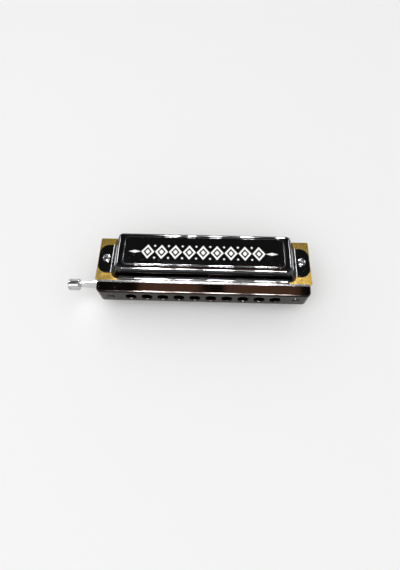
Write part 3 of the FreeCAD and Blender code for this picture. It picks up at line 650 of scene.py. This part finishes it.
def cover_print():
    mesh = bmesh.new()
    faces = []
    for x in row_places(LOZENGE_COUNT):
        faces += lozenge(mesh, x, PRINT_MIDDLE_Y, LOZENGE_WIDTH, LOZENGE_HEIGHT, LOZENGE_LINE)
        faces += lozenge(mesh, x, PRINT_MIDDLE_Y, *CORE_SIZE)
    for x in row_places(LOZENGE_COUNT - 1):
        for side in (-1, 1):
            y = PRINT_MIDDLE_Y + side * (LOZENGE_HEIGHT - DOT_SIZE) / 2
            faces += lozenge(mesh, x, y, DOT_SIZE, DOT_SIZE)
    for side in (-1, 1):
        x = PRINT_MIDDLE_X + side * (LOZENGE_COUNT * LOZENGE_PITCH + POINT_SIZE[0]) / 2
        faces += lozenge(mesh, x, PRINT_MIDDLE_Y, *POINT_SIZE)
    thicken(mesh, faces, INK_ABOVE + INK_BELOW)
    printed_piece("cover_print", mesh)


cover_print()

# %% [markdown]
# ## Hole numbers
#
# A player finds the holes by small numbers on the other cover, which lies underneath here.
# They sit on its front slope, over the holes, and they read the right way up once the
# instrument is turned over. A Shrinkwrap modifier could press them on, but the slope is
# flat, and it is simpler to measure it: two rays along Y, one near the slope's foot and one
# near its top, find where the metal is and how it leans.

# %% Find the front slope
RAY_FROM_Y = -100.0
SLOPE_FOOT_Z = 7.4
SLOPE_TOP_Z = 2.2

lower_cover = frame["nodes"]["lower_cover"]


def front_slope(z):
    """Where a ray along Y meets the lower cover's front, and the way the metal faces there."""
    start = Vector((0, RAY_FROM_Y, z)) * MM
    met, place, normal, _ = lower_cover.ray_cast(start, (0, 1, 0))
    assert met, "no wall in front of the ray"
    return place, normal


slope_foot, outward = front_slope(SLOPE_FOOT_Z)
slope_top, _ = front_slope(SLOPE_TOP_Z)
up_slope = (slope_top - slope_foot).normalized()
print("front slope", round((slope_top - slope_foot).length / MM, 2), "mm, facing", outward)

# %% [markdown]
# Text is a curve in Blender. It is made a mesh first, scaled so that every number is as
# tall as the others, and then turned to lie on the slope. The record gives a box for each
# air hole, and the middle of that box is the number's place along X.

# %% The ten numbers as one piece
NUMBER_HEIGHT = 2.6
NUMBER_UP_SLOPE = 0.46
HOLE_COUNT = 10

openings = frame["record"]["physics"]["openings"]
hole_boxes = {row["name"]: row["box_m"] for row in openings}


def number_mesh(number):
    """A number as a thin solid in millimetres, its middle at the origin."""
    words = bpy.data.curves.new("number", "FONT")
    words.body = str(number)
    words.extrude = (INK_ABOVE + INK_BELOW) / 2
    holder = bpy.data.objects.new("number", words)
    scene.collection.objects.link(holder)
    solid = holder.evaluated_get(bpy.context.evaluated_depsgraph_get())
    shape = bpy.data.meshes.new_from_object(solid)
    bpy.data.objects.remove(holder)
    low = [min(v.co[axis] for v in shape.vertices) for axis in (0, 1)]
    high = [max(v.co[axis] for v in shape.vertices) for axis in (0, 1)]
    size = NUMBER_HEIGHT / (high[1] - low[1])
    shape.transform(Matrix.Translation((-(low[0] + high[0]) / 2, -(low[1] + high[1]) / 2, 0)))
    shape.transform(Matrix.Diagonal((size, size, 1, 1)))
    return shape


def hole_numbers():
    mesh = bmesh.new()
    on_metal = slope_foot.lerp(slope_top, NUMBER_UP_SLOPE) / MM
    middle = on_metal + outward * (INK_ABOVE - INK_BELOW) / 2
    rightward = up_slope.cross(outward)
    turn = Matrix((rightward, up_slope, outward)).transposed().to_4x4()
    for number in range(1, HOLE_COUNT + 1):
        low, high = hole_boxes[f"air_hole_{number:02d}"]
        x = (low[0] + high[0]) / 2 / MM
        shape = number_mesh(number)
        shape.transform(Matrix.Translation((x, middle.y, middle.z)) @ turn)
        mesh.from_mesh(shape)
    printed_piece("hole_numbers", mesh)


hole_numbers()

# %% [markdown]
# ## Floor and studio
#
# The instrument lies on a plain pale table, which is one large square. A backdrop that
# curves up behind would hide the horizon, but the camera looks down and never sees it. The
# surface is matt and has no shine of its own. It is a hair below the cover's panel, so that
# the two never share a plane.

# %% Floor
FLOOR_SIZE = 3.0
FLOOR_DROP = 0.02
FLOOR_COLOUR = grey(0.9)
FLOOR_ROUGHNESS = 0.8

floor_mesh = bmesh.new()
bmesh.ops.create_grid(floor_mesh, x_segments=1, y_segments=1, size=FLOOR_SIZE / 2)
bmesh.ops.translate(floor_mesh, vec=(0, 0, -FLOOR_DROP * MM), verts=floor_mesh.verts)
floor_data = bpy.data.meshes.new("table_top")
floor_mesh.to_mesh(floor_data)
floor_mesh.free()
table_top = bpy.data.objects.new("table_top", floor_data)
scene.collection.objects.link(table_top)
Finish("table_top", FLOOR_COLOUR, 0.0, FLOOR_ROUGHNESS, Specular_IOR_Level=0.0)
floor_data.materials.append(finishes["table_top"])
print("table top", FLOOR_SIZE, "m square")

# %% [markdown]
# Polished metal looks like what is around it, so the surroundings matter more than the
# metal: a white room would turn black chrome grey. A panorama of a studio could stand for
# them, but two values of a gradient are easier to fit to the photo. Here the world is pale
# at the horizon and darkens overhead, but only in what the camera or a mirror sees. Matt
# surfaces get the same even light from all of it, which keeps the table pale and its
# shadows soft.

# %% World
DIFFUSE_STRENGTH = 0.92
HORIZON_STRENGTH = 1.0
CEILING_STRENGTH = 0.1
CEILING_STEP = (0.35, 0.75)

world = bpy.data.worlds.new("studio")
scene.world = world
world.use_nodes = True
sky = Nodes(world.node_tree)
direction = sky.add("ShaderNodeTexCoord").outputs["Generated"]
height = sky.add("ShaderNodeSeparateXYZ", {0: direction}).outputs[2]
mirrored_strength = sky.ramp(height, *CEILING_STEP, HORIZON_STRENGTH, CEILING_STRENGTH)
path = sky.add("ShaderNodeLightPath").outputs
mirrored = sky.math("MAXIMUM", path["Is Glossy Ray"], path["Is Transmission Ray"])
seen = sky.math("MAXIMUM", path["Is Camera Ray"], mirrored)
unseen = sky.math("MULTIPLY", sky.math("SUBTRACT", 1.0, seen), DIFFUSE_STRENGTH)
background = world.node_tree.nodes["Background"]
sky.feed(background.inputs["Color"], grey(1.0))
sky.feed(background.inputs["Strength"], sky.math("MULTIPLY_ADD", seen, mirrored_strength, unseen))
print("world has", len(world.node_tree.nodes), "nodes")

# %% [markdown]
# ## Lamps
#
# A mirror shows a lamp as a patch whose brightness doesn't change with the lamp's size or
# distance. So a lamp is given that brightness, its radiance, and its power follows. It
# aims at the middle of the instrument unless told otherwise. A glowing mesh would be
# mirrored just as well, but a lamp needs no mesh, and two values set its size.

# %% A lamp of a set brightness
MIDDLE = Vector((0, 0, 13.5)) * MM


def lamp(name, place, width, height, radiance, aim_at=MIDDLE, shape="RECTANGLE"):
    """A flat lamp whose own brightness is set, so that its power follows its size."""
    data = bpy.data.lights.new(name, "AREA")
    data.shape = shape
    data.size, data.size_y = width, height
    area = width * height * (math.pi / 4 if shape == "ELLIPSE" else 1)
    data.energy = radiance * math.pi * area
    light = bpy.data.objects.new(name, data)
    scene.collection.objects.link(light)
    light.location = place
    light.rotation_mode = "QUATERNION"
    light.rotation_quaternion = (Vector(place) - Vector(aim_at)).to_track_quat("Z", "Y")
    return light


print("lamps aim at", MIDDLE)

# %% [markdown]
# Most lamps here show in polish only. They draw highlights, and leave the light on the
# table and the shadows as they are. The brightest ones would burn out the brass from some
# sides, so they leave it out, and the brass has dim lamps of its own. Blender calls this
# light linking: a lamp gets a collection of what it may light, or of what may shade it, and
# each object in the collection is included or excluded.

# %% What a lamp lights
def for_polish(light, lights_up=None):
    """Makes a lamp show only in polish, of one group of pieces if that is given."""
    light.visible_diffuse = False
    light.visible_camera = False
    if lights_up is not None:
        light.light_linking.receiver_collection = lights_up


def pieces(name, slot_word, link_state):
    """A group of the pieces of one kind, which a lamp uses alone or leaves out."""
    group = bpy.data.collections.new(name)
    for row in subparts:
        if slot_word in row["material_slot"]:
            group.objects.link(frame["nodes"][row["node"]])
    for link in group.collection_objects:
        link.light_linking.link_state = link_state
    return group


BRASS_ALONE = pieces("brass_alone", "brass", "INCLUDE")
ALL_BUT_BRASS = pieces("all_but_brass", "brass", "EXCLUDE")
ALL_BUT_BOLTS = pieces("all_but_bolts", "screw_steel", "EXCLUDE")

# %% [markdown]
# ## Sparks
#
# The covers in the photo mirror rows of small ceiling lamps. Each one makes a star on a
# rounded edge, drawn out along it. A glare filter could add such tails to the finished
# picture, but it would add them to every bright spot. A spark here is a small, very bright
# ellipse with a wider, lower and dimmer one round it, for the star's tails. A cover's
# rounding mirrors half the room, so a row of sparks shows on it wherever it hangs. Its
# elevation decides how far down the rounding it shows, and its place along X decides where
# along the edge. Sparks in front light the near edge, sparks at the back the far one, and a
# third row lights the flange at the cover's front foot.

# %% Rows of sparks
SPARK_DISTANCE = 0.78
HALO_WIDER = 2.4
HALO_LOWER = 0.4
HALO_SHARE = 0.1

# Each row has its radiance, what it lights, and its sparks. A spark has its place along X
# in metres, its elevation above +Y in degrees, past 90 in front, and its width and height
# in metres.
SPARK_ROWS = {
    "front": (360.0, ALL_BUT_BRASS, (
        (-0.142, 128, 0.1, 0.16), (-0.057, 122, 0.04, 0.14), (0.158, 126, 0.05, 0.2),
        (0.212, 126, 0.03, 0.12), (-0.142, 108, 0.05, 0.1), (0.042, 125, 0.07, 0.2),
    )),
    "back": (260.0, ALL_BUT_BRASS, (
        (-0.092, 39, 0.04, 0.1), (-0.04, 39, 0.024, 0.08), (0.026, 39, 0.034, 0.1),
        (0.113, 39, 0.036, 0.1), (0.193, 39, 0.016, 0.06),
    )),
    "foot": (24.0, None, (
        (-0.088, 65.2, 0.157, 0.027), (0.038, 65.2, 0.04, 0.027), (0.163, 65.2, 0.06, 0.027),
    )),
    "brass": (1.2, BRASS_ALONE, (
        (-0.25, 65, 0.05, 0.05), (-0.13, 64, 0.05, 0.05),
        (0.15, 63, 0.05, 0.05), (0.27, 64, 0.05, 0.05),
    )),
}


def spark(name, x, elevation, width, height, radiance, lights_up):
    """A small bright lamp and the dim wide one round it, for polish only."""
    angle = math.radians(elevation)
    place = Vector((x, SPARK_DISTANCE * math.cos(angle), SPARK_DISTANCE * math.sin(angle)))
    halo = (HALO_WIDER * width, HALO_LOWER * height, HALO_SHARE * radiance)
    for part, values in (("core", (width, height, radiance)), ("halo", halo)):
        light = lamp(f"{name}_{part}", place, *values, aim_at=(x, 0, 0), shape="ELLIPSE")
        for_polish(light, lights_up)


for row, (radiance, lights_up, sparks) in SPARK_ROWS.items():
    for number, (x, elevation, width, height) in enumerate(sparks):
        spark(f"{row}_spark_{number}", x, elevation, width, height, radiance, lights_up)
print("sparks:", sum(len(sparks) for _, _, sparks in SPARK_ROWS.values()))

# %% [markdown]
# ## Broad lamps
#
# The mouthpiece's top mirrors something warm and reddish in two stretches, with a dark gap
# between them. Two warm panels overhead, which look straight down, stand for it. Where a
# panel begins and ends along X decides where its stretch does.

# %% Warm panels overhead
PANEL_SPANS = ((-0.165, -0.012), (0.05, 0.24))
PANEL_Y = -0.01
PANEL_HEIGHT = 0.72
PANEL_DEPTH = 0.2
PANEL_RADIANCE = 2.0
PANEL_COLOUR = (1.0, 0.55, 0.34)
DOWN = Vector((0, 0, -1))

for number, (low_x, high_x) in enumerate(PANEL_SPANS):
    place = Vector(((low_x + high_x) / 2, PANEL_Y, PANEL_HEIGHT))
    panel = lamp(
        f"overhead_panel_{number}", place, high_x - low_x, PANEL_DEPTH, PANEL_RADIANCE,
        aim_at=place + DOWN,
    )
    panel.data.color = PANEL_COLOUR
    for_polish(panel)
print("warm panels:", len(PANEL_SPANS))

# %% [markdown]
# Two dim fills keep the polish from going dead between the highlights, one for every piece
# and a dimmer one for the brass. The key, on the left in front, is the one lamp that matt
# surfaces see. It turns the soft light a little to one side, so that shadows have a
# direction.

# %% Fills and key
FILL_PLACE = (0, 0.26, 0.72)
FILL_SIZE = (0.7, 0.1)
FILL_RADIANCE = 0.8
BRASS_FILL_PLACE = (0, 0.34, 0.7)
BRASS_FILL_SIZE = (0.9, 0.3)
BRASS_FILL_RADIANCE = 0.12
KEY_PLACE = (-0.6, -0.5, 0.8)
KEY_SIZE = (0.6, 0.6)
KEY_RADIANCE = 1.4

for_polish(lamp("front_fill", FILL_PLACE, *FILL_SIZE, FILL_RADIANCE))
brass_fill = lamp("brass_fill", BRASS_FILL_PLACE, *BRASS_FILL_SIZE, BRASS_FILL_RADIANCE)
for_polish(brass_fill, BRASS_ALONE)
key = lamp("key", KEY_PLACE, *KEY_SIZE, KEY_RADIANCE)
print("key:", round(key.data.energy, 2), "watts")

# %% [markdown]
# Two small lamps, far out to the left and right and somewhat behind, draw a crisp line
# along the bend between each tab and the dome. The bolt in the tab stands close to that
# bend, and its head would shade a piece of the line, so for these two lamps the bolts cast
# no shadow.

# %% Side lamps
SIDE_LAMP_X = 0.629
SIDE_LAMP_YZ = (0.424, 0.572)
SIDE_LAMP_SIZE = (0.14, 0.06)
SIDE_LAMP_RADIANCE = 90.0

for side in (-1, 1):
    place = (side * SIDE_LAMP_X, *SIDE_LAMP_YZ)
    light = lamp(f"side_panel_{side}", place, *SIDE_LAMP_SIZE, SIDE_LAMP_RADIANCE)
    for_polish(light, ALL_BUT_BRASS)
    light.light_linking.blocker_collection = ALL_BUT_BOLTS

# %% [markdown]
# ## The view
#
# The looks never change the size of the instrument: only the ink stands proud, by its two
# hundredths of a millimetre. The picture is shown through the Standard view, which keeps the
# blacks as deep as they were set.

# %% Show the picture through the Standard view
scene.view_settings.view_transform = "Standard"
